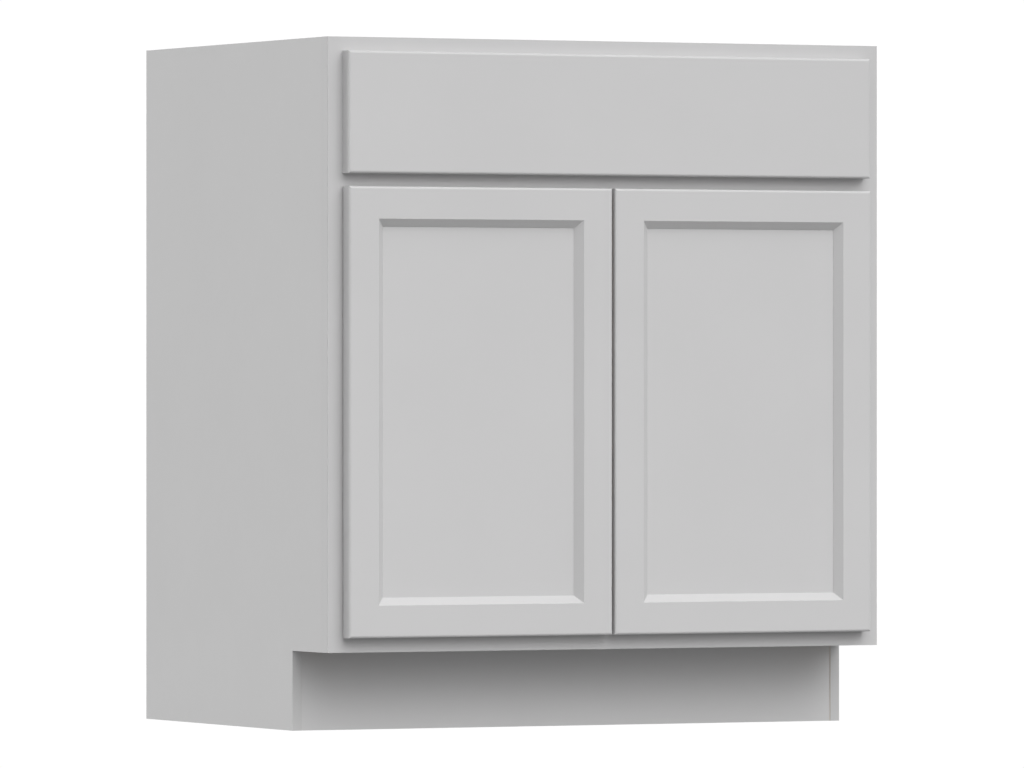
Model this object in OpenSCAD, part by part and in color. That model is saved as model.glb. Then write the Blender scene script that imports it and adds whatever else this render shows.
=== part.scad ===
// Vanity base cabinet: face frame, false drawer front and two doors on concealed cup hinges.
// Millimetres. X runs to the right, Y towards the wall and Z up. The origin is on the floor,
// in the middle of the cabinet's width and of its overall depth with the doors.

/* [Cabinet] */
// Width over the side panels
cabinet_w = 762; // [690:1:914]
// Height from the floor to the top edges
cabinet_h = 850.9; // [780:0.1:900]
// Depth from the face frame's front to the back edges
cabinet_d = 546.1; // [450:0.1:610]
// Thickness of the side panels
side_t = 12.7; // [12:0.1:19]
// Thickness of the floor panel
floor_t = 12.7; // [12:0.1:19]
// Thickness of the back panel
back_t = 6.35; // [3.2:0.05:9]
// Depth of the grooves that hold the floor panel and the back panel
housing_d = 6.35; // [3:0.05:8]

/* [Toe kick] */
// Height of the recess
toe_h = 98.4; // [80:0.1:115]
// Depth of the notch, from the front edge of a side panel
toe_recess = 82.5; // [50:0.1:100]
// Thickness of the toe board
toe_board_t = 12.7; // [9:0.1:19]
// Setback of the toe board from the notched edges
toe_board_setback = 1; // [0:0.5:6]

/* [Face frame] */
// Thickness of the face frame
frame_t = 19.05; // [17:0.05:22]
// Width of the two stiles
stile_w = 38.1; // [36:0.1:50]
// Height of the top rail
top_rail_h = 38.1; // [32:0.1:60]
// Height of the middle rail
mid_rail_h = 38.1; // [32:0.1:60]
// Height of the bottom rail
bottom_rail_h = 38.1; // [32:0.1:60]
// Thickness of the rail tenons
frame_tenon_t = 6.35; // [5:0.05:8]
// Length of the rail tenons
frame_tenon_l = 12.7; // [8:0.1:16]
// Shoulder above and below each tenon
frame_tenon_shoulder = 6; // [3:0.5:10]
// Radius of the eased front corners of the two stiles
frame_edge_r = 1.5; // [0.5:0.5:3]

/* [Fronts] */
// Thickness of the doors and of the false drawer front
front_t = 19.05; // [17:0.05:22]
// Frame showing beside the fronts
side_reveal = 20; // [14:0.5:22]
// Frame showing above the false drawer front
top_reveal = 17.3; // [5:0.1:25]
// Frame showing under the doors
bottom_reveal = 18; // [5:0.1:25]
// Height of the false drawer front
false_front_h = 149.5; // [110:0.5:200]
// Frame showing between the false drawer front and the doors
mid_reveal = 16; // [6:0.5:30]
// Gap between the two doors
door_gap = 3.6; // [2:0.1:6]
// Radius of the rounded front edges
edge_r = 3; // [1:0.5:6]
// Radius of the rounded back edges of the doors
back_edge_r = 1; // [0.5:0.5:1.5]

/* [Doors] */
// Flat width of the door frame members
member_flat = 39.5; // [36:0.1:60]
// Width of the bevel along their inner edges
bevel_w = 9.5; // [4:0.5:14]
// Depth of the bevel
bevel_d = 9; // [3:0.5:9]
// Depth of the panel's face behind the door's face
panel_setback = 9.5; // [9:0.1:10]
// Thickness of the door panel
panel_t = 6.35; // [5:0.05:8]
// Depth of the groove that holds the panel
groove_d = 7.5; // [6:0.5:7.5]
// Room for the panel to swell, at the bottom of the groove
panel_float = 1.5; // [0.5:0.5:3]
// Diameter of the door bumpers
bumper_d = 8; // [6:0.5:9]
// Distance that the bumpers hold a closed door from the frame
door_standoff = 2; // [2:0.1:3]
// Air between a bumper and the frame
bumper_air = 0.3; // [0.1:0.1:0.5]
// Distance of a bumper from the free edge of its door
bumper_inset = 14; // [10:1:30]

/* [False front cleats] */
// Width of a cleat
cleat_w = 60; // [40:1:90]
// Thickness of a cleat
cleat_t = 12.7; // [9:0.1:19]
// Lap of a cleat on the rails above and below
cleat_lap = 20; // [12:1:30]
// Distance between the middles of the two cleats
cleat_spacing = 380; // [200:5:480]

/* [Hinges] */
// Diameter of a hinge cup
cup_d = 35; // [33:0.5:35]
// Wall of a cup
cup_wall = 1.2; // [0.8:0.1:1.2]
// Depth of a cup below the back of its door
cup_depth = 12.5; // [12:0.1:13]
// Thickness of a cup's floor
cup_floor_t = 0.9; // [0.6:0.1:1]
// Wood between a cup and the hinge edge of its door
cup_tab = 3; // [3:0.1:4.5]
// Play round a cup and under it
cup_play = 0.1; // [0.05:0.05:0.2]
// Thickness of a cup's flange
flange_t = 0.8; // [0.6:0.1:1]
// Rim of the flange round its cup
flange_rim = 2; // [1:0.5:2.5]
// Width of the flange's screw ears
ear_w = 10; // [8:0.5:12]
// Distance between the two screws of a cup
cup_screw_spacing = 45; // [45:1:52]
// Distance of those screws from the middle of the cup
cup_screw_offset = 9.5; // [7:0.5:10]
// Distance of a hinge from the end of its door
hinge_inset = 80; // [60:1:120]
// Diameter of the link pins
pin_d = 2; // [1.6:0.1:2]
// Play of a link on its pin
pin_play = 0.05; // [0.02:0.01:0.1]
// Play of the short link on its cup pin
loose_pin_play = 0.6; // [0.5:0.05:0.7]
// Diameter of the heads of the outer arm pins
pin_head_d = 4; // [3:0.5:4.5]
// Thickness of those heads
pin_head_h = 1; // [0.6:0.1:1.5]
// Air between stacked links and cheeks
link_air = 0.3; // [0.2:0.05:0.4]
// Thickness of the short link
short_link_t = 4.4; // [3:0.1:4.6]
// Thickness of each arm cheek
cheek_t = 2; // [1.5:0.1:2.1]
// Thickness of each long link plate
long_plate_t = 2.2; // [1.5:0.1:2.4]
// Width of the long link
long_link_w = 2.6; // [2:0.1:2.8]
// Width of the short link
short_link_w = 1.8; // [1.4:0.1:2]
// Width of the arm's cheeks
arm_w = 5.2; // [4:0.1:5.6]
// Width of the arm's nose
nose_w = 3.4; // [3:0.1:3.8]
// Radius of the links' eyes on the cup pins
cup_eye_r = 2.4; // [2.2:0.05:2.45]
// Radius of the long link's eyes on the arm pins
long_arm_eye_r = 2.6; // [2:0.1:2.6]
// Radius of the short link's eye on its arm pin
short_arm_eye_r = 2; // [1.8:0.1:2]
// Outer arm pin: into the opening from the stile's edge, and behind the frame's face
outer_arm_pin = [26.9, 2.6];
// Inner arm pin: into the opening from the stile's edge, and before the frame's face
inner_arm_pin = [7.1, 8.6];
// Outer cup pin: from the cup's middle to the door's edge, and below the door's back
outer_cup_pin = [9.9, 1.6];
// Inner cup pin: from the cup's middle to the door's edge, and below the door's back
inner_cup_pin = [10.3, 5.2];
// Closed door: how far the short link's loose eye sits off the inner cup pin
loose_eye_off = [-0.3, -0.2];
// Bend of the long link, from the outer cup pin
long_bend = [6.4, 0.3];
// Bend of the short link, from its loose eye
short_bend_out = [2.6, -2.8];
// Bend of the short link, from the inner arm pin
short_bend_in = [-7.2, -3.6];
// Root of the arm's cheeks, off the base plate and behind the frame's face
arm_root = [1.1, 8];
// Root of the arm's nose, from the stile's edge and behind the frame's face
nose_root = [9.9, 6];
// Bend of the arm's nose, from the inner arm pin
nose_bend = [1.3, 6.6];
// Thickness of the arm's base plate
plate_t = 1.8; // [1.2:0.1:2]
// Length of the base plate
plate_l = 44; // [40:1:60]
// Margin of the base plate from the frame's two faces
plate_margin = 1; // [0.5:0.1:3]
// Distance between the two screws of a base plate
plate_screw_spacing = 30; // [26:1:34]

/* [Screws] */
// Diameter of the hinge screws
hinge_screw_d = 3.5; // [3:0.1:4]
// Length of the hinge screws in the wood
hinge_screw_l = 12; // [9:0.5:14]
// Head diameter of the hinge screws
hinge_screw_head_d = 6.5; // [5:0.1:7]
// Head height of the hinge screws
hinge_screw_head_h = 1.6; // [1:0.1:2]
// Diameter of the false front's screws
front_screw_d = 4; // [3.5:0.1:5]
// Length of the false front's screws in the false front
front_screw_bite = 12; // [8:0.5:15]
// Head diameter of the false front's screws
front_screw_head_d = 9; // [7:0.1:11]
// Head height of the false front's screws
front_screw_head_h = 2.4; // [1.5:0.1:3]
// Distance between the two screws of a cleat
front_screw_spacing = 60; // [40:1:75]

/* [Nailing rails and corner braces] */
// Height of the nailing rails
nail_rail_h = 76.2; // [50:0.1:100]
// Thickness of the nailing rails
nail_rail_t = 12.7; // [9:0.1:19]
// Leg of a corner brace
brace_leg = 90; // [60:1:120]
// Thickness of a corner brace
brace_t = 12.7; // [9:0.1:19]
// Width of a brace's two short ends
brace_end = 14; // [8:1:25]
// Screw hole for the sink top
brace_hole_d = 5; // [4:0.1:7]
// Distance of the hole from the two walls
brace_hole_inset = 34; // [25:1:40]

/* [Hidden] */
$fn = 48;
// Overrun of a cut past the face that it opens
cut = 1;

half_w = cabinet_w / 2;
overall_d = cabinet_d + door_standoff + front_t;
frame_y = -overall_d / 2 + door_standoff + front_t;
frame_back_y = frame_y + frame_t;
back_y = frame_y + cabinet_d;
inner_half_w = half_w - side_t;

toe_y = frame_back_y + toe_recess;
floor_top = toe_h + bottom_rail_h;
floor_z = floor_top - floor_t;
back_z = floor_z - nail_rail_h;

frame_inner_w = cabinet_w - 2 * stile_w;
false_front_z = cabinet_h - top_reveal - false_front_h;
door_z = toe_h + bottom_reveal;
door_h = false_front_z - mid_reveal - door_z;
fronts_w = cabinet_w - 2 * side_reveal;
door_w = (fronts_w - door_gap) / 2;
door_back_y = frame_y - door_standoff;
door_front_y = door_back_y - front_t;
mid_rail_z = door_z + door_h + mid_reveal / 2 - mid_rail_h / 2;
top_rail_z = cabinet_h - top_rail_h;
member_w = member_flat + bevel_w;
cleat_z = mid_rail_z + mid_rail_h - cleat_lap;
cleat_h = top_rail_z + cleat_lap - cleat_z;
cleat_back_y = frame_back_y + cleat_t;

// Plan places of the left-hand hinges, as [x, y]
stile_edge_x = -half_w + stile_w;
cup_x = -half_w + side_reveal + cup_tab + cup_d / 2;
flange_y = door_back_y + flange_t;
outer_arm_at = [stile_edge_x + outer_arm_pin[0], frame_y + outer_arm_pin[1]];
inner_arm_at = [stile_edge_x + inner_arm_pin[0], frame_y - inner_arm_pin[1]];
outer_cup_at = [cup_x - outer_cup_pin[0], door_back_y - outer_cup_pin[1]];
inner_cup_at = [cup_x - inner_cup_pin[0], door_back_y - inner_cup_pin[1]];
loose_eye_at = inner_cup_at + loose_eye_off;
long_bend_at = outer_cup_at + long_bend;
short_bends_at = [loose_eye_at + short_bend_out, inner_arm_at + short_bend_in];
arm_root_at = [stile_edge_x + plate_t + arm_root[0], frame_y + arm_root[1]];
nose_root_at = [stile_edge_x + nose_root[0], frame_y + nose_root[1]];
nose_bend_at = inner_arm_at + nose_bend;

// Half heights of the hinge's layers, from the middle plane outwards
short_top = short_link_t / 2;
cheek_low = short_top + link_air;
cheek_top = cheek_low + cheek_t;
long_low = cheek_top + link_air;
long_top = long_low + long_plate_t;
lower_hinge_z = door_z + hinge_inset;
upper_hinge_z = door_z + door_h - hinge_inset;
hinge_zs = [lower_hinge_z, upper_hinge_z];

// Mirrors a left-hand piece to the right-hand side
module right_hand() {
    mirror([1, 0, 0]) children();
}

// Side panels, floor and back
module side_panel() {
    color("gainsboro")
    difference() {
        union() {
            translate([-half_w, frame_back_y, 0])
                cube([side_t, cabinet_d - frame_t, cabinet_h]);
            // Tongue in the groove behind the stile
            translate([-half_w + side_t / 2, frame_back_y - housing_d, 0])
                cube([side_t / 2, housing_d + cut, cabinet_h]);
        }
        // Toe notch
        translate([-half_w - cut, frame_y, -cut])
            cube([side_t + 2 * cut, frame_t + toe_recess, toe_h + cut]);
        // Housing for the floor panel
        translate([-inner_half_w - housing_d, frame_y, floor_z])
            cube([housing_d + cut, cabinet_d + cut, floor_t]);
        // Rabbet for the back panel
        translate([-inner_half_w - housing_d, back_y - back_t, -cut])
            cube([housing_d + cut, back_t + cut, cabinet_h + 2 * cut]);
    }
}

module left_side_panel() side_panel();

module right_side_panel() right_hand() side_panel();

module floor_panel() {
    color("burlywood")
    translate([-inner_half_w - housing_d, frame_back_y, floor_z])
        cube([2 * (inner_half_w + housing_d), cabinet_d - frame_t - back_t, floor_t]);
    color("burlywood")
    translate([-frame_inner_w / 2, frame_back_y - housing_d, floor_z])
        cube([frame_inner_w, housing_d, floor_t]);
}

module back_panel() {
    color("burlywood")
    translate([-inner_half_w - housing_d, back_y - back_t, back_z])
        cube([2 * (inner_half_w + housing_d), back_t, cabinet_h - back_z]);
}

module nailing_rail(z) {
    color("burlywood")
    translate([-inner_half_w, back_y - back_t - nail_rail_t, z])
        cube([2 * inner_half_w, nail_rail_t, nail_rail_h]);
}

module upper_nailing_rail() nailing_rail(cabinet_h - nail_rail_h);

module lower_nailing_rail() nailing_rail(floor_z - nail_rail_h);

module toe_board() {
    color("darkgray")
    translate([-inner_half_w, toe_y + toe_board_setback, 0])
        cube([2 * inner_half_w, toe_board_t, floor_z]);
}

// Corner braces, drawn in the corner of the left wall and a wall that faces the back
module corner_brace() {
    difference() {
        linear_extrude(brace_t)
            polygon([[0, 0], [brace_leg, 0], [brace_leg, brace_end],
                [brace_end, brace_leg], [0, brace_leg]]);
        translate([brace_hole_inset, brace_hole_inset, -cut])
            cylinder(h = brace_t + 2 * cut, d = brace_hole_d);
    }
}

module front_brace() {
    color("burlywood")
    translate([-inner_half_w, frame_back_y, cabinet_h - brace_t]) corner_brace();
}

module back_brace() {
    color("burlywood")
    translate([-inner_half_w, back_y - back_t - nail_rail_t, cabinet_h - brace_t])
        mirror([0, 1, 0]) corner_brace();
}

module front_left_brace() front_brace();

module front_right_brace() right_hand() front_brace();

module back_left_brace() back_brace();

module back_right_brace() right_hand() back_brace();

// Face frame: tenoned rails between two grooved stiles
module rail_tenon(z, h, extra = 0) {
    translate([-frame_inner_w / 2 - frame_tenon_l - extra,
        frame_y + (frame_t - frame_tenon_t) / 2, z + frame_tenon_shoulder])
        cube([frame_tenon_l + extra + cut, frame_tenon_t, h - 2 * frame_tenon_shoulder]);
}

// What a rounded upright corner takes off, with the wood towards +X and +Y
module corner_waste(r, l) {
    translate([0, 0, -cut]) difference() {
        translate([-cut, -cut, 0]) cube([r + cut, r + cut, l + 2 * cut]);
        translate([r, r, -cut]) cylinder(h = l + 4 * cut, r = r);
    }
}

module frame_stile() {
    color("gainsboro")
    difference() {
        translate([-half_w, frame_y, toe_h])
            cube([stile_w, frame_t, cabinet_h - toe_h]);
        translate([-half_w, frame_y, toe_h]) corner_waste(frame_edge_r, cabinet_h - toe_h);
        // Groove for the side panel's tongue
        translate([-half_w + side_t / 2, frame_back_y - housing_d, toe_h - cut])
            cube([side_t / 2, housing_d + cut, cabinet_h - toe_h + 2 * cut]);
        rail_tenon(top_rail_z, top_rail_h);
        rail_tenon(mid_rail_z, mid_rail_h);
        rail_tenon(toe_h, bottom_rail_h);
        arm_screw_places() screw(hinge_screw_d, hinge_screw_l + plate_t, 0.1, 0.1);
    }
}

module left_stile() frame_stile();

module right_stile() right_hand() frame_stile();

module frame_rail(z, h) {
    translate([-frame_inner_w / 2, frame_y, z]) cube([frame_inner_w, frame_t, h]);
    rail_tenon(z, h);
    right_hand() rail_tenon(z, h);
}

module top_rail() color("gainsboro") frame_rail(top_rail_z, top_rail_h);

module middle_rail() color("gainsboro") frame_rail(mid_rail_z, mid_rail_h);

module bottom_rail() {
    color("gainsboro")
    difference() {
        frame_rail(toe_h, bottom_rail_h);
        // Rabbet for the front edge of the floor panel
        translate([-frame_inner_w / 2, frame_back_y - housing_d, floor_z])
            cube([frame_inner_w, housing_d + cut, floor_t + cut]);
    }
}

// A pan-head screw whose head rests on Z = 0 and whose shank runs down
module screw(d, l, head_d, head_h) {
    cylinder(h = head_h, d1 = head_d, d2 = 0.8 * head_d);
    translate([0, 0, -l]) cylinder(h = l + head_h / 2, d = d);
}

// The false front's screws, through the cleats from behind
front_screw_l = cleat_t + frame_t + front_screw_bite;

module front_screw_places() {
    for (x = [-1, 1], z = [-1, 1])
        translate([x * cleat_spacing / 2, cleat_back_y,
            cleat_z + cleat_h / 2 + z * front_screw_spacing / 2])
            rotate([-90, 0, 0]) children();
}

module front_screws() {
    color("silver")
    front_screw_places()
        screw(front_screw_d, front_screw_l, front_screw_head_d, front_screw_head_h);
}

// A slab from the origin into +X, +Y and +Z whose four front edges are rounded
module half_round_profile(w, r) {
    translate([0, r]) square([w, front_t]);
    translate([r, 0]) square([w - 2 * r, r + cut]);
    translate([r, r]) circle(r);
    translate([w - r, r]) circle(r);
}

module rounded_edge_profile(w, back_r) {
    intersection() {
        half_round_profile(w, edge_r);
        translate([0, front_t]) mirror([0, 1])
            if (back_r > 0) half_round_profile(w, back_r);
            else square([w, front_t]);
    }
}

module eased_slab(w, h, back_r = 0) {
    intersection() {
        linear_extrude(h) rounded_edge_profile(w, back_r);
        translate([w, 0, 0]) rotate([0, -90, 0])
            linear_extrude(w) rounded_edge_profile(h, back_r);
    }
}

module false_drawer_front() {
    color("gainsboro")
    difference() {
        translate([-fronts_w / 2, frame_y - front_t, false_front_z])
            eased_slab(fronts_w, false_front_h);
        front_screw_places() screw(front_screw_d, front_screw_l, front_screw_head_d, 1);
    }
}

module cleat(x) {
    color("burlywood")
    difference() {
        translate([x - cleat_w / 2, frame_back_y, cleat_z])
            cube([cleat_w, cleat_t, cleat_h]);
        front_screw_places() screw(front_screw_d, front_screw_l, front_screw_head_d, 1);
    }
}

module left_cleat() cleat(-cleat_spacing / 2);

module right_cleat() cleat(cleat_spacing / 2);

// Door, drawn from its outer bottom corner into +X and +Z with its face at Y = 0
// Section of a frame member: outer edge at the left, face at the bottom
module member_profile() {
    difference() {
        polygon([[0, 0], [member_flat, 0], [member_w, bevel_d],
            [member_w, front_t], [0, front_t]]);
        translate([member_w - groove_d, panel_setback])
            square([groove_d + cut, panel_t]);
    }
}

module left_upright() {
    linear_extrude(door_h) member_profile();
}

module right_upright() {
    translate([door_w, 0, 0]) mirror([1, 0, 0]) left_upright();
}

module lower_bar() {
    translate([door_w - member_flat, 0, 0]) rotate([0, -90, 0])
        linear_extrude(door_w - 2 * member_flat) member_profile();
}

module door_blank() {
    eased_slab(door_w, door_h, back_edge_r);
}

module door_lower_rail() {
    difference() {
        intersection() {
            lower_bar();
            door_blank();
        }
        left_upright();
        right_upright();
    }
}

module place_door() {
    color("gainsboro")
    translate([-half_w + side_reveal, door_front_y, door_z]) children();
}

module door_hinge_stile() {
    color("gainsboro")
    difference() {
        place_door()
        intersection() {
            left_upright();
            door_blank();
        }
        for (z = hinge_zs)
            translate([cup_x, door_back_y + cut, z]) rotate([90, 0, 0])
                cylinder(h = cup_depth + cup_play + cut, r = cup_d / 2 + cup_play);
        cup_screw_places() screw(hinge_screw_d, hinge_screw_l + flange_t, 0.1, 0.1);
    }
}

module door_lock_stile() {
    place_door()
    intersection() {
        right_upright();
        door_blank();
    }
}

module door_bottom_rail() place_door() door_lower_rail();

module door_top_rail() {
    place_door()
    translate([0, 0, door_h]) mirror([0, 0, 1]) door_lower_rail();
}

module door_panel() {
    place_door()
    translate([member_w - groove_d + panel_float, panel_setback,
        member_w - groove_d + panel_float])
        cube([door_w - 2 * (member_w - groove_d + panel_float), panel_t,
            door_h - 2 * (member_w - groove_d + panel_float)]);
}

module door_bumpers() {
    lap_low = toe_h + bottom_rail_h - door_z;
    lap_high = door_z + door_h - mid_rail_z;
    for (z = [door_z + lap_low / 2, door_z + door_h - lap_high / 2])
        color("white")
        translate([-half_w + side_reveal + door_w - bumper_inset, door_back_y, z])
            rotate([-90, 0, 0]) cylinder(h = door_standoff - bumper_air, d = bumper_d);
}

module left_door_hinge_stile() door_hinge_stile();

module left_door_lock_stile() door_lock_stile();

module left_door_top_rail() door_top_rail();

module left_door_bottom_rail() door_bottom_rail();

module left_door_panel() door_panel();

module left_door_bumpers() door_bumpers();

module right_door_hinge_stile() right_hand() door_hinge_stile();

module right_door_lock_stile() right_hand() door_lock_stile();

module right_door_top_rail() right_hand() door_top_rail();

module right_door_bottom_rail() right_hand() door_bottom_rail();

module right_door_panel() right_hand() door_panel();

module right_door_bumpers() right_hand() door_bumpers();

// Hinges, drawn for the left door
// A strap of even width along plan points, with round ends
module strap(points, w) {
    for (i = [0 : len(points) - 2]) {
        run = points[i + 1] - points[i];
        translate(points[i]) rotate(atan2(run[1], run[0]))
            translate([0, -w / 2]) square([norm(run), w]);
    }
    for (p = points) translate(p) circle(d = w);
}

module at(p) {
    translate(p) children();
}

// A flat piece between two heights, and its mirror image below the middle plane
module layer_pair(low, top) {
    for (side = [0, 1])
        mirror([0, 0, side]) translate([0, 0, low]) linear_extrude(top - low) children();
}

module cup(z) {
    color("silver")
    difference() {
        translate([cup_x, door_back_y, z]) rotate([90, 0, 0]) {
            cylinder(h = cup_depth, d = cup_d);
            translate([0, 0, -flange_t]) linear_extrude(flange_t) flange_outline();
        }
        translate([cup_x, flange_y + cut, z]) rotate([90, 0, 0])
            cylinder(h = cup_depth + flange_t - cup_floor_t + cut, d = cup_d - 2 * cup_wall);
        translate([0, 0, z - cup_d / 2]) linear_extrude(cup_d) {
            at(outer_cup_at) circle(d = pin_d);
            at(inner_cup_at) circle(d = pin_d);
        }
        cup_screw_places() screw(hinge_screw_d, cup_depth, 0.1, 0.1);
    }
}

module flange_outline() {
    circle(d = cup_d + 2 * flange_rim);
    for (side = [-1, 1])
        translate([cup_screw_offset, side * cup_screw_spacing / 2]) circle(d = ear_w);
    translate([cup_screw_offset - ear_w / 2, -cup_screw_spacing / 2])
        square([ear_w, cup_screw_spacing]);
}

module cup_screw_places() {
    for (z = hinge_zs, side = [-1, 1])
        translate([cup_x + cup_screw_offset, flange_y, z + side * cup_screw_spacing / 2])
            rotate([-90, 0, 0]) children();
}

module cup_screws() {
    color("silver")
    cup_screw_places() screw(hinge_screw_d, hinge_screw_l + flange_t,
        hinge_screw_head_d, hinge_screw_head_h);
}

module long_link(z) {
    color("silver")
    translate([0, 0, z]) layer_pair(long_low, long_top)
        difference() {
            union() {
                strap([outer_cup_at, long_bend_at, outer_arm_at], long_link_w);
                at(outer_cup_at) circle(cup_eye_r);
                at(outer_arm_at) circle(long_arm_eye_r);
            }
            at(outer_cup_at) circle(d = pin_d + 2 * pin_play);
            at(outer_arm_at) circle(d = pin_d + 2 * pin_play);
        }
}

module short_link(z) {
    color("silver")
    translate([0, 0, z - short_top]) linear_extrude(short_link_t)
        difference() {
            union() {
                strap([loose_eye_at, short_bends_at[0], short_bends_at[1], inner_arm_at],
                    short_link_w);
                at(loose_eye_at) circle(cup_eye_r);
                at(inner_arm_at) circle(short_arm_eye_r);
            }
            at(loose_eye_at) circle(d = pin_d + 2 * loose_pin_play);
            at(inner_arm_at) circle(d = pin_d + 2 * pin_play);
        }
}

module arm(z) {
    color("silver")
    difference() {
        translate([0, 0, z]) {
            // Base plate on the stile's edge
            translate([stile_edge_x, frame_y + plate_margin, -plate_l / 2])
                cube([plate_t, frame_t - 2 * plate_margin, plate_l]);
            layer_pair(cheek_low, cheek_top) {
                strap([arm_root_at, outer_arm_at], arm_w);
                strap([inner_arm_at, nose_bend_at, nose_root_at], nose_w);
                at(inner_arm_at) circle(short_arm_eye_r);
                at(outer_arm_at) circle(long_arm_eye_r);
            }
            // Web that joins the cheeks on the side away from the door
            translate([0, 0, -cheek_top]) linear_extrude(2 * cheek_top) arm_web();
        }
        translate([0, 0, z - long_top]) linear_extrude(2 * long_top) {
            at(outer_arm_at) circle(d = pin_d);
            at(inner_arm_at) circle(d = pin_d);
        }
        arm_screw_places() screw(hinge_screw_d, plate_t + cut, 0.1, 0.1);
    }
}

// The side of the arm away from the door, one sheet thick
module arm_web() {
    run = outer_arm_at - arm_root_at;
    length = norm(run);
    side = [-run[1], run[0]] / length * (arm_w - plate_t) / 2;
    strap([arm_root_at + side, outer_arm_at - run * (long_arm_eye_r + 1) / length + side],
        plate_t);
}

module arm_screw_places() {
    for (z = hinge_zs, side = [-1, 1])
        translate([stile_edge_x + plate_t, frame_y + frame_t / 2,
            z + side * plate_screw_spacing / 2])
            rotate([0, 90, 0]) children();
}

module left_arm_screws() {
    color("silver")
    arm_screw_places() screw(hinge_screw_d, hinge_screw_l + plate_t,
        hinge_screw_head_d, hinge_screw_head_h);
}

module arm_screws() {
    left_arm_screws();
    right_hand() left_arm_screws();
}

module pin(p, low, top) {
    translate([p[0], p[1], low]) cylinder(h = top - low, d = pin_d);
}

// Half the length of a cup pin: to the middle of the cup's wall
function cup_pin_reach(p) =
    sqrt(pow((cup_d - cup_wall) / 2, 2) - pow(p[0] - cup_x, 2));

module cup_pins() {
    color("gray")
    for (z = hinge_zs) translate([0, 0, z]) {
        pin(inner_cup_at, -cup_pin_reach(inner_cup_at), cup_pin_reach(inner_cup_at));
        for (side = [0, 1])
            mirror([0, 0, side]) pin(outer_cup_at, cheek_low, cup_pin_reach(outer_cup_at));
    }
}

module arm_pins() {
    color("gray")
    for (z = hinge_zs) translate([0, 0, z]) {
        pin(inner_arm_at, -cheek_top, cheek_top);
        pin(outer_arm_at, -long_top - link_air, long_top + link_air);
        layer_pair(long_top + link_air, long_top + link_air + pin_head_h)
            at(outer_arm_at) circle(d = pin_head_d);
    }
}

module left_upper_cup() cup(upper_hinge_z);

module left_lower_cup() cup(lower_hinge_z);

module right_upper_cup() right_hand() cup(upper_hinge_z);

module right_lower_cup() right_hand() cup(lower_hinge_z);

module left_upper_arm() arm(upper_hinge_z);

module left_lower_arm() arm(lower_hinge_z);

module right_upper_arm() right_hand() arm(upper_hinge_z);

module right_lower_arm() right_hand() arm(lower_hinge_z);

module left_upper_long_link() long_link(upper_hinge_z);

module left_lower_long_link() long_link(lower_hinge_z);

module right_upper_long_link() right_hand() long_link(upper_hinge_z);

module right_lower_long_link() right_hand() long_link(lower_hinge_z);

module left_upper_short_link() short_link(upper_hinge_z);

module left_lower_short_link() short_link(lower_hinge_z);

module right_upper_short_link() right_hand() short_link(upper_hinge_z);

module right_lower_short_link() right_hand() short_link(lower_hinge_z);

module left_cup_pins() cup_pins();

module right_cup_pins() right_hand() cup_pins();

module left_arm_pins() arm_pins();

module right_arm_pins() right_hand() arm_pins();

module left_cup_screws() cup_screws();

module right_cup_screws() right_hand() cup_screws();

left_side_panel();
right_side_panel();
floor_panel();
back_panel();
upper_nailing_rail();
lower_nailing_rail();
toe_board();
front_left_brace();
front_right_brace();
back_left_brace();
back_right_brace();
left_stile();
right_stile();
top_rail();
middle_rail();
bottom_rail();
false_drawer_front();
left_cleat();
right_cleat();
left_door_hinge_stile();
left_door_lock_stile();
left_door_top_rail();
left_door_bottom_rail();
left_door_panel();
left_door_bumpers();
right_door_hinge_stile();
right_door_lock_stile();
right_door_top_rail();
right_door_bottom_rail();
right_door_panel();
right_door_bumpers();
left_upper_cup();
left_lower_cup();
right_upper_cup();
right_lower_cup();
left_upper_arm();
left_lower_arm();
right_upper_arm();
right_lower_arm();
left_upper_long_link();
left_lower_long_link();
right_upper_long_link();
right_lower_long_link();
left_upper_short_link();
left_lower_short_link();
right_upper_short_link();
right_lower_short_link();
left_cup_pins();
right_cup_pins();
left_arm_pins();
right_arm_pins();
left_cup_screws();
right_cup_screws();
arm_screws();
front_screws();
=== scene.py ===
"""Vanity base cabinet: satin gray paint, maple plywood, plated hinges, studio light and camera."""

import math

import bmesh
import bpy
import numpy as np
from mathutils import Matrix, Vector


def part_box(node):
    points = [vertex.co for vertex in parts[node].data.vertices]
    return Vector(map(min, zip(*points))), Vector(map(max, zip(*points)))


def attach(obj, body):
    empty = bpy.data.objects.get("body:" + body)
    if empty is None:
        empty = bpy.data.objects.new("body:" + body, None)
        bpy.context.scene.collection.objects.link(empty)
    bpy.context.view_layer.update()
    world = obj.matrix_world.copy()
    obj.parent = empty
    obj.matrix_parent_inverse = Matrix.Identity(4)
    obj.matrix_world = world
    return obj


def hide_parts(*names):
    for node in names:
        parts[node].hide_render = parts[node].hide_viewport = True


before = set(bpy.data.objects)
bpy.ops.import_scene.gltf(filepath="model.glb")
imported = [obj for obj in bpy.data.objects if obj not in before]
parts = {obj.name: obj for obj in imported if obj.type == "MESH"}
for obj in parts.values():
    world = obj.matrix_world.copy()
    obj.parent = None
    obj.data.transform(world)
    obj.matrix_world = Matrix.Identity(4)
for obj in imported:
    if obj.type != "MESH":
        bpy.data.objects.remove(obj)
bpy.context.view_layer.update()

# Camera, fitted to the cabinet's own edges: metres and degrees in the cabinet's frame
CAMERA_PLACE = (-5.1002, -10.4010, 0.4346)
CAMERA_TURN = 26.115
CAMERA_SHIFT = -0.00639
LENS = 322.20
SENSOR = 36.0

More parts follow.
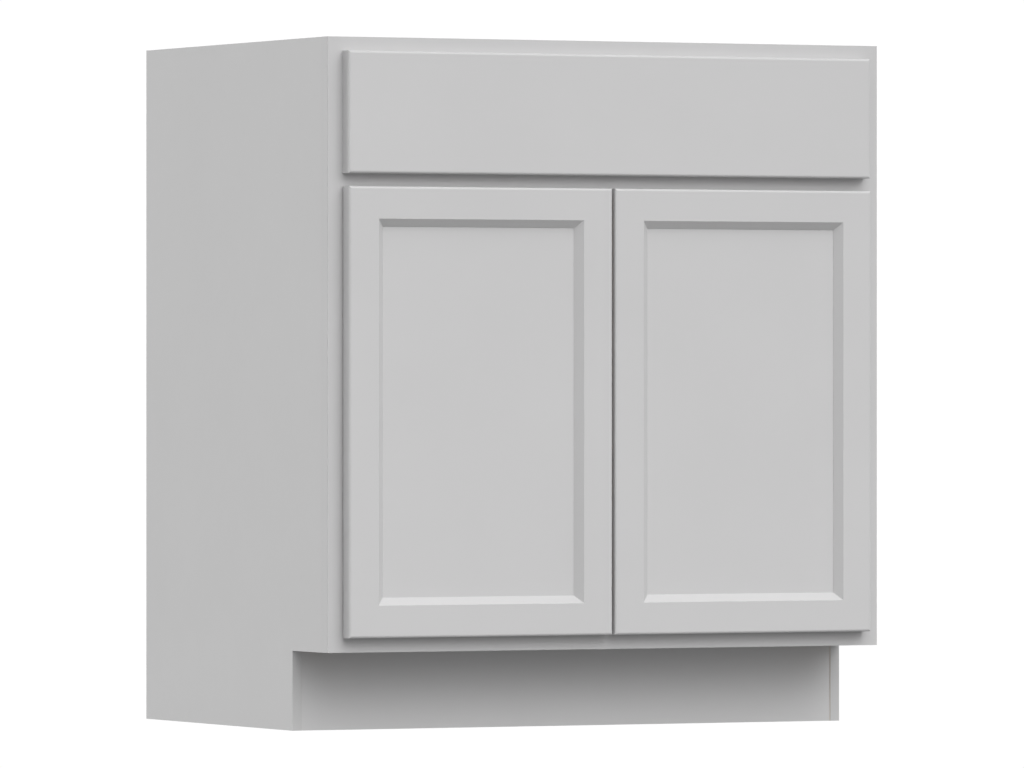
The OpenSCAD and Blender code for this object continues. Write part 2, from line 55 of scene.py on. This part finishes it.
# Paint and wood, as linear colours
FRONT_PAINT = (0.568, 0.565, 0.568)
# A shade darker than the fronts' paint: painted shade on the face frame's strips and rails
SHADED_FRAME_PAINT = (0.551, 0.548, 0.551)
# A shade lighter than the fronts' paint: painted light on the toe board in its recess
LIT_TOE_PAINT = (0.596, 0.593, 0.596)
# A touch darker than the fronts' paint: painted shade on the side panels' outsides
SHADED_SIDE_PAINT = (0.5565, 0.5550, 0.5560)
PRIMER = (0.36, 0.36, 0.358)
MAPLE_PALE = (0.70, 0.52, 0.33)
MAPLE_DARK = (0.54, 0.36, 0.20)
PLY_DARK = (0.36, 0.21, 0.11)

# Plate and plastic, as linear colours
NICKEL = (0.66, 0.65, 0.62)
PIN_STEEL = (0.50, 0.50, 0.49)
ZINC = (0.62, 0.63, 0.62)
DOT_DULL = (0.72, 0.72, 0.70)
DOT_CLEAR = (0.80, 0.80, 0.78)

# Patterns of the finishes: how many to a metre
PAINT_CLOUDS = 5.0
PAINT_PATCHES = 60.0
PAINT_PEEL = 420.0
PRIMER_CLOUDS = 14.0
WOOD_FIGURE = 26.0
WOOD_PORES = 260.0
PLY_FUZZ = 700.0
PLATE_TONE = 90.0
PLATE_MARKS = 1500.0
DOT_TONE = 300.0

# Depths of the finishes' relief, and how near a face a point counts as on it, in metres
PEEL_DEPTH = 0.00003
GRAIN_DEPTH = 0.00006
SIDE_GRAIN_DEPTH = 0.00003
MARK_DEPTH = 0.000004
ON_FACE = 0.0002

# Gloss of the finishes
PAINT_ROUGH = (0.40, 0.50)
PAINT_GLOSS = 0.35
WOOD_ROUGH = 0.42
WOOD_GLOSS = 0.4
DOT_ROUGH = 0.3

# Plywood: how far its grain is drawn out, how many plies it has, and where the plies end
GRAIN_STRETCH = 0.055
PLIES = 5
PLY_ZONE = 0.475

# How far the toe board stands back from the side panels' notched edges, in metres
TOE_SETBACK = 0.001

# Screws and bumpers: points around, then thread and point in metres
AROUND = 28
SCREW_PITCH = 0.0014
SCREW_POINT = 0.003
THREAD_END = 0.0004
FRONT_SCREW = {"shank": 0.0020, "head": 0.0045, "head_height": 0.0024}
HINGE_SCREW = {"shank": 0.00175, "head": 0.00325, "head_height": 0.0016}
SHARP_ANGLE = 38.0

# Soft dome: direction of each lobe, how tight it is, and its strength
DOME = [
    ((0.0, -1.0, 1.0), 6.0, 3.33),
    ((0.0, -1.0, 0.7), 8.0, 0.84),
    ((0.5, -1.0, 0.8), 8.0, 1.72),
    ((-1.0, -1.0, 1.0), 6.0, 0.14),
    ((1.0, -0.2, 0.3), 4.0, 0.30),
    ((-1.0, 0.0, 0.0), 2.0, 0.41),
    ((-1.0, 0.8, 0.3), 6.0, 1.65),
    ((-1.0, 1.5, 0.3), 8.0, 1.30),
    ((1.0, 0.8, 0.5), 4.0, 1.25),
    ((0.0, 0.0, -1.0), 1.0, 0.60),
]
DOME_FLOOR = 0.02

# White behind and under the cabinet
WHITE = 1.02
FLOOR_REACH = 30.0
FLOOR_DROP = 0.0005


# Node helpers
def shader(name):
    """A new material, its node tree and its Principled shader."""
    mat = bpy.data.materials.new(name)
    mat.use_nodes = True
    tree = mat.node_tree
    return mat, tree, tree.nodes["Principled BSDF"]


def add(tree, kind, **sockets):
    """Adds a node; keyword values set its inputs by name, with _ for a space."""
    node = tree.nodes.new(kind)
    for key, value in sockets.items():
        node.inputs[key.replace("_", " ")].default_value = value
    return node


def maths(tree, operation, a, b=None):
    """One Math node; a and b are sockets or numbers."""
    node = tree.nodes.new("ShaderNodeMath")
    node.operation = operation
    for slot, value in enumerate((a, b)):
        if value is None:
            continue
        if isinstance(value, (int, float)):
            node.inputs[slot].default_value = value
        else:
            tree.links.new(value, node.inputs[slot])
    return node.outputs[0]


def place(tree, scale=(1.0, 1.0, 1.0)):
    """Object coordinates, scaled for a pattern."""
    coords = tree.nodes.new("ShaderNodeTexCoord")
    mapping = tree.nodes.new("ShaderNodeMapping")
    mapping.inputs["Scale"].default_value = scale
    tree.links.new(coords.outputs["Object"], mapping.inputs["Vector"])
    return mapping.outputs["Vector"]


def noise(tree, vector, scale, detail=3.0, roughness=0.5, distortion=0.0):
    """Cloudy pattern, scale of them to a unit of the vector."""
    node = add(tree, "ShaderNodeTexNoise", Scale=scale, Detail=detail,
               Roughness=roughness, Distortion=distortion)
    tree.links.new(vector, node.inputs["Vector"])
    return node.outputs["Fac"]


def ramp(tree, factor, stops):
    """Colour ramp through (place, colour) stops."""
    node = tree.nodes.new("ShaderNodeValToRGB")
    while len(node.color_ramp.elements) < len(stops):
        node.color_ramp.elements.new(0.5)
    for element, (at, colour) in zip(node.color_ramp.elements, stops):
        element.position = at
        element.color = (*colour, 1.0)
    tree.links.new(factor, node.inputs["Fac"])
    return node.outputs["Color"]


def mix(tree, factor, a, b):
    """Colour a where factor is 0 and colour b where it is 1."""
    node = tree.nodes.new("ShaderNodeMix")
    node.data_type = "RGBA"
    for key, value in (("Factor", factor), ("A", a), ("B", b)):
        if isinstance(value, tuple):
            node.inputs[key].default_value = (*value, 1.0)
        else:
            tree.links.new(value, node.inputs[key])
    return node.outputs["Result"]


def scaled(colour, factor):
    """A colour made lighter or darker, at most white."""
    return tuple(min(1.0, c * factor) for c in colour)


def bump(tree, height, distance, strength, under=None):
    """Relief of a height pattern, over another relief if one is given."""
    node = add(tree, "ShaderNodeBump", Strength=strength, Distance=distance)
    tree.links.new(height, node.inputs["Height"])
    if under is not None:
        tree.links.new(under, node.inputs["Normal"])
    return node.outputs["Normal"]


def axis_socket(tree, axis):
    """Object coordinate along one axis, as a number."""
    coords = tree.nodes.new("ShaderNodeTexCoord")
    split = tree.nodes.new("ShaderNodeSeparateXYZ")
    tree.links.new(coords.outputs["Object"], split.inputs["Vector"])
    return split.outputs[axis]


# Paint and plywood
def paint_layer(tree, colour):
    """Colour, roughness and normal sockets of sprayed satin paint: cloudy tone, soft orange peel."""
    coords = place(tree)
    cloud = noise(tree, coords, PAINT_CLOUDS, 4.0, 0.6)
    tone = ramp(tree, cloud, [(0.25, scaled(colour, 0.985)), (0.75, scaled(colour, 1.015))])
    peel = noise(tree, coords, PAINT_PEEL, 2.0, 0.5)
    rough = add(tree, "ShaderNodeMapRange", To_Min=PAINT_ROUGH[0], To_Max=PAINT_ROUGH[1])
    tree.links.new(noise(tree, coords, PAINT_PATCHES, 3.0, 0.6), rough.inputs["Value"])
    return tone, rough.outputs["Result"], bump(tree, peel, PEEL_DEPTH, 0.6)


def sprayed_paint(name, colour):
    """Satin paint all over."""
    mat, tree, surface = shader(name)
    tone, rough, normal = paint_layer(tree, colour)
    tree.links.new(tone, surface.inputs["Base Color"])
    tree.links.new(rough, surface.inputs["Roughness"])
    tree.links.new(normal, surface.inputs["Normal"])
    surface.inputs["Specular IOR Level"].default_value = PAINT_GLOSS
    return mat


def maple_layer(tree, grain, through, low, high):
    """Colour and bump height of maple plywood whose veneer runs along grain.

    Away from its two faces (low and high along the through axis) the plies show as bands."""
    stretch = [1.0, 1.0, 1.0]
    stretch[grain] = GRAIN_STRETCH
    coords = place(tree, tuple(stretch))
    figure = noise(tree, coords, WOOD_FIGURE, 6.0, 0.62, 1.6)
    pores = noise(tree, coords, WOOD_PORES, 3.0, 0.7, 0.3)
    veneer = ramp(tree, figure, [(0.25, MAPLE_DARK), (0.48, MAPLE_PALE),
                                 (0.62, scaled(MAPLE_PALE, 1.10)), (0.85, scaled(MAPLE_DARK, 1.18))])
    veneer = mix(tree, maths(tree, "MULTIPLY", pores, 0.25), veneer, scaled(MAPLE_DARK, 0.8))
    depth = maths(tree, "SUBTRACT", axis_socket(tree, through), low)
    depth = maths(tree, "DIVIDE", depth, high - low)
    band = maths(tree, "PINGPONG", maths(tree, "MULTIPLY", depth, float(PLIES)), 1.0)
    layers = ramp(tree, band, [(0.30, scaled(PLY_DARK, 1.3)), (0.55, scaled(MAPLE_PALE, 0.92))])
    fuzz = maths(tree, "MULTIPLY", noise(tree, place(tree), PLY_FUZZ, 2.0), 0.35)
    layers = mix(tree, fuzz, layers, PLY_DARK)
    middle = maths(tree, "ABSOLUTE", maths(tree, "SUBTRACT", depth, 0.5))
    edge = maths(tree, "LESS_THAN", middle, PLY_ZONE)
    height = maths(tree, "ADD", figure, maths(tree, "MULTIPLY", pores, 0.5))
    return mix(tree, edge, veneer, layers), height


def flat_sheet(name, grain):
    """Plywood for one part, its thickness taken from the part's box."""
    low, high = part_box(name)
    size = [high[i] - low[i] for i in range(3)]
    through = size.index(min(size))
    mat, tree, surface = shader("maple_" + name)
    colour, height = maple_layer(tree, grain, through, low[through], high[through])
    tree.links.new(colour, surface.inputs["Base Color"])
    tree.links.new(bump(tree, height, GRAIN_DEPTH, 0.5), surface.inputs["Normal"])
    surface.inputs["Roughness"].default_value = WOOD_ROUGH
    surface.inputs["Specular IOR Level"].default_value = WOOD_GLOSS
    return mat


def prime_below(mat, height):
    """Coats the faces at or under a height with gray primer, over the wood's own colour."""
    tree = mat.node_tree
    colour = tree.nodes["Principled BSDF"].inputs["Base Color"]
    wood = colour.links[0].from_socket
    under = maths(tree, "LESS_THAN", axis_socket(tree, 2), height + ON_FACE)
    cloud = noise(tree, place(tree), PRIMER_CLOUDS, 4.0, 0.6)
    coat = ramp(tree, cloud, [(0.3, scaled(PRIMER, 0.97)), (0.7, PRIMER)])
    tree.links.new(mix(tree, under, wood, coat), colour)


def side_sheet(name, inner, outer, notch_back, notch_top):
    """Side panel: painted outside and around its toe notch, maple inside, plies on its other edges.

    inner and outer are its faces' places along X; the notch lies before and under its two."""
    mat, tree, surface = shader(name)
    wood, height = maple_layer(tree, 2, 0, inner, outer)
    # The outside's paint is a touch darker than the fronts': painted shade on the side faces
    tone, rough, normal = paint_layer(tree, SHADED_SIDE_PAINT)
    across = maths(tree, "ABSOLUTE", axis_socket(tree, 0))
    outside = maths(tree, "GREATER_THAN", across, abs(outer) - ON_FACE)
    before = maths(tree, "LESS_THAN", axis_socket(tree, 1), notch_back + ON_FACE)
    under = maths(tree, "LESS_THAN", axis_socket(tree, 2), notch_top + ON_FACE)
    painted = maths(tree, "MAXIMUM", outside, maths(tree, "MINIMUM", before, under))
    tree.links.new(mix(tree, painted, wood, tone), surface.inputs["Base Color"])
    tree.links.new(rough, surface.inputs["Roughness"])
    tree.links.new(bump(tree, height, SIDE_GRAIN_DEPTH, 0.4, normal), surface.inputs["Normal"])
    surface.inputs["Specular IOR Level"].default_value = PAINT_GLOSS
    return mat


# Plate and plastic
def plated_steel(name, colour, roughness):
    """Plated metal with a faint cloudy tone and fine marks."""
    mat, tree, surface = shader(name)
    marks = noise(tree, place(tree), PLATE_MARKS, 3.0, 0.6)
    cloud = noise(tree, place(tree), PLATE_TONE, 3.0)
    tone = ramp(tree, cloud, [(0.3, scaled(colour, 0.93)), (0.7, colour)])
    rough = add(tree, "ShaderNodeMapRange", To_Min=roughness * 0.92, To_Max=roughness * 1.08)
    tree.links.new(marks, rough.inputs["Value"])
    tree.links.new(tone, surface.inputs["Base Color"])
    tree.links.new(rough.outputs["Result"], surface.inputs["Roughness"])
    tree.links.new(bump(tree, marks, MARK_DEPTH, 0.2), surface.inputs["Normal"])
    surface.inputs["Metallic"].default_value = 1.0
    return mat


def soft_dot(name):
    """Milky plastic of the door bumpers."""
    mat, tree, surface = shader(name)
    cloud = noise(tree, place(tree), DOT_TONE, 2.0)
    tone = ramp(tree, cloud, [(0.3, DOT_DULL), (0.7, DOT_CLEAR)])
    tree.links.new(tone, surface.inputs["Base Color"])
    surface.inputs["Roughness"].default_value = DOT_ROUGH
    surface.inputs["Subsurface Weight"].default_value = 0.25
    surface.inputs["Subsurface Radius"].default_value = (0.002, 0.002, 0.002)
    return mat


def dress(names, mat):
    """Gives the CAD parts of these names one finish, in their own material slots."""
    for name in names:
        for slot in parts[name].material_slots:
            slot.material = mat


# Shapes of screws and bumpers
def solids_of(name):
    """Low and high corners of each separate solid in a CAD part.

    Points at one place are one point; each point takes the lowest number among the triangles it
    belongs to, again and again, until the numbers stand still and name the solids."""
    mesh = parts[name].data
    points = np.empty(3 * len(mesh.vertices))
    mesh.vertices.foreach_get("co", points)
    corners = np.empty(len(mesh.loops), dtype=np.int64)
    mesh.loops.foreach_get("vertex_index", corners)
    points = points.reshape(-1, 3)
    spots, spot = np.unique(np.round(points, 6), axis=0, return_inverse=True)
    faces = spot.reshape(-1)[corners].reshape(-1, 3)
    label = np.arange(len(spots))
    while True:
        lower = label.copy()
        np.minimum.at(lower, faces.reshape(-1), np.repeat(label[faces].min(axis=1), 3))
        if (lower == label).all():
            break
        label = lower
    return [(spots[label == k].min(axis=0), spots[label == k].max(axis=0)) for k in np.unique(label)]


def closed_grid(rows):
    """Points and faces of rings (rows, around, 3), each end closed by a fan to its ring's middle.

    Ring k joins ring k + 1 by four-sided faces; the two poles are the means of the end rings."""
    count, around = rows.shape[:2]
    low_pole, high_pole = rows[:1].mean(axis=1), rows[-1:].mean(axis=1)
    points = np.concatenate([rows.reshape(-1, 3), low_pole, high_pole])
    k, j = np.meshgrid(np.arange(count - 1), np.arange(around), indexing="ij")
    after = (j + 1) % around
    ring, next_ring = k * around, (k + 1) * around
    quads = np.stack([ring + j, ring + after, next_ring + after, next_ring + j], axis=-1)
    j = np.arange(around)
    after = (j + 1) % around
    low_at = np.full(around, count * around)
    last_ring = (count - 1) * around
    low_fan = np.stack([low_at, after, j], axis=-1)
    high_fan = np.stack([low_at + 1, last_ring + j, last_ring + after], axis=-1)
    return points, quads.reshape(-1, 4).tolist() + low_fan.tolist() + high_fan.tolist()


def set_along(points, axis, tip):
    """Turns points drawn along +Z so that +Z is the axis, and moves their origin to tip."""
    across = np.array((0.0, 0.0, 1.0)) if abs(axis[2]) < 0.5 else np.array((1.0, 0.0, 0.0))
    side = np.cross(across, axis)
    return points @ np.array([side, np.cross(axis, side), axis]) + tip


def screw_rings(length, shank, head, head_height):
    """Rings of one screw along +Z, from its point at -length to its head's face at head_height.

    The point narrows as the square root of the way from the tip. The thread's radius is the core plus
    a depth times a triangle wave of height / pitch - angle / turn. The head is a dome whose height
    falls with the square of the radius. Its recess is a cross: depth times a soft step of the distance
    from the nearer of two crossed bars, and no deeper than its slope to the cross's ends."""
    turn = 2.0 * np.pi
    angle = np.linspace(0.0, turn, AROUND, endpoint=False)
    low = np.linspace(-length, -THREAD_END, int(length / SCREW_PITCH * 6))[:, None]
    way = np.clip((low + length) / SCREW_POINT, 0.0, 1.0)
    wave = np.abs(2.0 * ((low / SCREW_PITCH - angle / turn) % 1.0) - 1.0)
    thread = shank * (0.74 + 0.26 * wave) * np.sqrt(np.maximum(way, 0.004))
    shank_rows = [thread * np.cos(angle), thread * np.sin(angle), low * np.ones(AROUND)]

    rim_radius = np.array([0.90, 1.0, 0.985, 0.94, 0.88])
    rim_height = np.array([0.0, 0.02, 0.35, 0.70, 0.90])
    crown_radius = np.linspace(0.84, 0.03, 22)
    crown_height = 0.90 + 0.10 * (1.0 - (crown_radius / 0.84) ** 2)
    radius = np.concatenate([rim_radius, crown_radius])[:, None] * head * np.ones(AROUND)
    z = np.concatenate([rim_height, crown_height])[:, None] * head_height * np.ones(AROUND)
    x, y = radius * np.cos(angle), radius * np.sin(angle)
    bar = np.minimum(np.abs(x), np.abs(y)) / (0.15 * head)
    reach = np.maximum(np.abs(x), np.abs(y)) / (0.56 * head)
    inside = np.clip(1.6 - 1.1 * bar, 0.0, 1.0) * np.clip(5.0 * (1.0 - reach), 0.0, 1.0)
    z -= 0.62 * head_height * inside * (1.0 - 0.35 * reach) * (z > 0.85 * head_height)
    return np.concatenate([np.stack(shank_rows, axis=-1), np.stack([x, y, z], axis=-1)])


def bumper_rings(radius, height):
    """Rings of a soft dot along +Z: a straight wall, then a dome whose height is the square root of
    1 - (radius / full radius) to the fourth power."""
    angle = np.linspace(0.0, 2.0 * np.pi, AROUND, endpoint=False)
    part = np.sin(np.linspace(np.pi / 2.0, 0.02, 16))
    z = np.concatenate([[0.0], 0.35 + 0.65 * np.sqrt(1.0 - part ** 4)]) * height
    r = np.concatenate([[1.0], part]) * radius
    rings = [np.outer(r, np.cos(angle)), np.outer(r, np.sin(angle)), np.outer(z, np.ones(AROUND))]
    return np.stack(rings, axis=-1)


# Pieces that take the place of plain CAD parts
def add_piece(name, meshes, body, stands_for, mat):
    """One object from several closed meshes, riding on a body in place of a CAD part."""
    points, faces, start = [], [], 0
    for some_points, some_faces in meshes:
        points.append(some_points)
        faces += [[start + corner for corner in face] for face in some_faces]
        start += len(some_points)
    mesh = bpy.data.meshes.new(name)
    mesh.from_pydata(np.concatenate(points).tolist(), [], faces)
    piece = bpy.data.objects.new(name, mesh)
    bpy.context.scene.collection.objects.link(piece)
    shape = bmesh.new()
    shape.from_mesh(mesh)
    bmesh.ops.recalc_face_normals(shape, faces=shape.faces)
    shape.to_mesh(mesh)
    shape.free()
    mesh.shade_smooth()
    mesh.set_sharp_from_angle(angle=math.radians(SHARP_ANGLE))
    mesh.materials.append(mat)
    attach(piece, body)
    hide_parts(stands_for)


def screws_for(node, body, way_out, screw):
    """Threaded screws with a cross recess in place of a part's plain ones.

    way_out(high) is the way a screw's head faces, from the high corner of its box."""
    made = []
    for low, high in solids_of(node):
        axis = np.array(way_out(high), dtype=float)
        length = abs((high - low) @ axis) - screw["head_height"]
        head_top = (low + high) / 2.0 + axis * (length + screw["head_height"]) / 2.0
        points, faces = closed_grid(screw_rings(length, **screw))
        made.append((set_along(points, axis, head_top - axis * screw["head_height"]), faces))
    add_piece(node + "_cut", made, body, node, zinc)


def bumpers_for(node, body):
    """Domed dots in place of a door's plain ones, their foot on the door's back."""
    made = []
    for low, high in solids_of(node):
        points, faces = closed_grid(bumper_rings((high[0] - low[0]) / 2.0, high[1] - low[1]))
        foot = np.array(((low[0] + high[0]) / 2.0, low[1], (low[2] + high[2]) / 2.0))
        made.append((set_along(points, np.array((0.0, 1.0, 0.0)), foot), faces))
    add_piece(node + "_dome", made, body, node, dot)


def backward(high):
    return (0, 1, 0)


def inward(high):
    """Towards the cabinet's middle, from a screw at its left or right."""
    return (1, 0, 0) if high[0] < 0 else (-1, 0, 0)


# Finishes: painted parts
fronts = [n for n in parts if "_door_" in n and "bumpers" not in n] + ["false_drawer_front"]
face_frame = ["left_stile", "right_stile", "top_rail", "middle_rail", "bottom_rail"]
dress(fronts, sprayed_paint("front_paint", FRONT_PAINT))
# The face frame's paint is darker than the fronts': painted shade on its strips and rails
dress(face_frame, sprayed_paint("frame_paint", SHADED_FRAME_PAINT))
# The toe board's paint is lighter than the fronts': painted light in the toe recess
dress(["toe_board"], sprayed_paint("toe_paint", LIT_TOE_PAINT))

# Finishes: plywood parts, with the axis that each one's grain runs along
inner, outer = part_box("left_side_panel")[1][0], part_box("left_side_panel")[0][0]
notch = (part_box("toe_board")[0][1] - TOE_SETBACK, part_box("bottom_rail")[0][2])
dress(["left_side_panel"], side_sheet("left_side_sheet", inner, outer, *notch))
dress(["right_side_panel"], side_sheet("right_side_sheet", -inner, -outer, *notch))
for part_name, grain_axis in (("floor_panel", 0), ("back_panel", 2), ("upper_nailing_rail", 0),
                              ("lower_nailing_rail", 0), ("left_cleat", 2), ("right_cleat", 2),
                              ("front_left_brace", 0), ("front_right_brace", 0),
                              ("back_left_brace", 0), ("back_right_brace", 0)):
    dress([part_name], flat_sheet(part_name, grain_axis))
prime_below(parts["floor_panel"].material_slots[0].material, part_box("floor_panel")[0][2])

# Finishes: hinges, screws and bumpers
nickel = plated_steel("nickel_plate", NICKEL, 0.28)
dress([n for n in parts if n.endswith(("_cup", "_arm", "_link"))], nickel)
dress([n for n in parts if n.endswith("_pins")], plated_steel("bright_pin", PIN_STEEL, 0.2))
zinc = plated_steel("zinc_screw", ZINC, 0.32)
dress([n for n in parts if n.endswith("screws")], zinc)
dot = soft_dot("soft_bumper")
dress([n for n in parts if n.endswith("bumpers")], dot)

screws_for("front_screws", "cabinet", backward, FRONT_SCREW)
screws_for("arm_screws", "cabinet", inward, HINGE_SCREW)
for hand in ("left", "right"):
    screws_for(hand + "_cup_screws", hand + "_door", backward, HINGE_SCREW)
    bumpers_for(hand + "_door_bumpers", hand + "_door")


# Camera, light and floor
def fitted_camera():
    """Level camera at the photograph's place, turned to the right and shifted in its frame."""
    camera = bpy.data.cameras.new("camera")
    camera.lens = LENS
    camera.sensor_width = SENSOR
    camera.sensor_fit = "HORIZONTAL"
    camera.shift_y = CAMERA_SHIFT
    camera.clip_end = 100.0
    holder = bpy.data.objects.new("camera", camera)
    holder.location = CAMERA_PLACE
    holder.rotation_euler = (math.pi / 2, 0.0, -math.radians(CAMERA_TURN))
    bpy.context.scene.collection.objects.link(holder)
    bpy.context.scene.camera = holder


def dome_light():
    """World light: a low even part plus lobes, each the cosine to its direction raised to a power.

    The camera itself sees plain white behind the cabinet."""
    world = bpy.data.worlds.new("studio")
    bpy.context.scene.world = world
    world.use_nodes = True
    tree = world.node_tree
    backdrop = tree.nodes["Background"]
    backdrop.inputs["Color"].default_value = (1.0, 1.0, 1.0, 1.0)
    backdrop.inputs["Strength"].default_value = WHITE
    coords = tree.nodes.new("ShaderNodeTexCoord")
    total = None
    for index, (direction, tightness, strength) in enumerate(DOME):
        cosine = tree.nodes.new("ShaderNodeVectorMath")
        cosine.name = f"lobe_{index}"
        cosine.operation = "DOT_PRODUCT"
        tree.links.new(coords.outputs["Generated"], cosine.inputs[0])
        cosine.inputs[1].default_value = Vector(direction).normalized()
        lobe = maths(tree, "MAXIMUM", cosine.outputs["Value"], 0.0)
        lobe = maths(tree, "MULTIPLY", maths(tree, "POWER", lobe, tightness), strength)
        total = maths(tree, "ADD", lobe, DOME_FLOOR if total is None else total)
    lights = tree.nodes.new("ShaderNodeBackground")
    tree.links.new(total, lights.inputs["Strength"])
    rays = tree.nodes.new("ShaderNodeLightPath")
    choose = tree.nodes.new("ShaderNodeMixShader")
    tree.links.new(rays.outputs["Is Camera Ray"], choose.inputs["Fac"])
    tree.links.new(lights.outputs["Background"], choose.inputs[1])
    tree.links.new(backdrop.outputs["Background"], choose.inputs[2])
    tree.links.new(choose.outputs["Shader"], tree.nodes["World Output"].inputs["Surface"])


def pale_floor():
    """A white sheet under the cabinet, bright enough to run into the white behind it."""
    mesh = bpy.data.meshes.new("pale_floor")
    corners = np.array([[-1, -1, 0], [1, -1, 0], [1, 1, 0], [-1, 1, 0]]) * FLOOR_REACH
    mesh.from_pydata(corners.tolist(), [], [[0, 1, 2, 3]])
    floor = bpy.data.objects.new("pale_floor", mesh)
    bpy.context.scene.collection.objects.link(floor)
    floor.location.z = -FLOOR_DROP
    mat, tree, surface = shader("pale_floor")
    surface.inputs["Base Color"].default_value = (0.0, 0.0, 0.0, 1.0)
    surface.inputs["Specular IOR Level"].default_value = 0.0
    surface.inputs["Emission Color"].default_value = (1.0, 1.0, 1.0, 1.0)
    surface.inputs["Emission Strength"].default_value = WHITE
    mesh.materials.append(mat)
    floor.visible_diffuse = False
    floor.visible_glossy = False
    floor.visible_shadow = False


fitted_camera()
dome_light()
pale_floor()
view = bpy.context.scene.view_settings
view.view_transform = "Standard"
view.look = "None"
bpy.context.scene.cycles.use_denoising = True
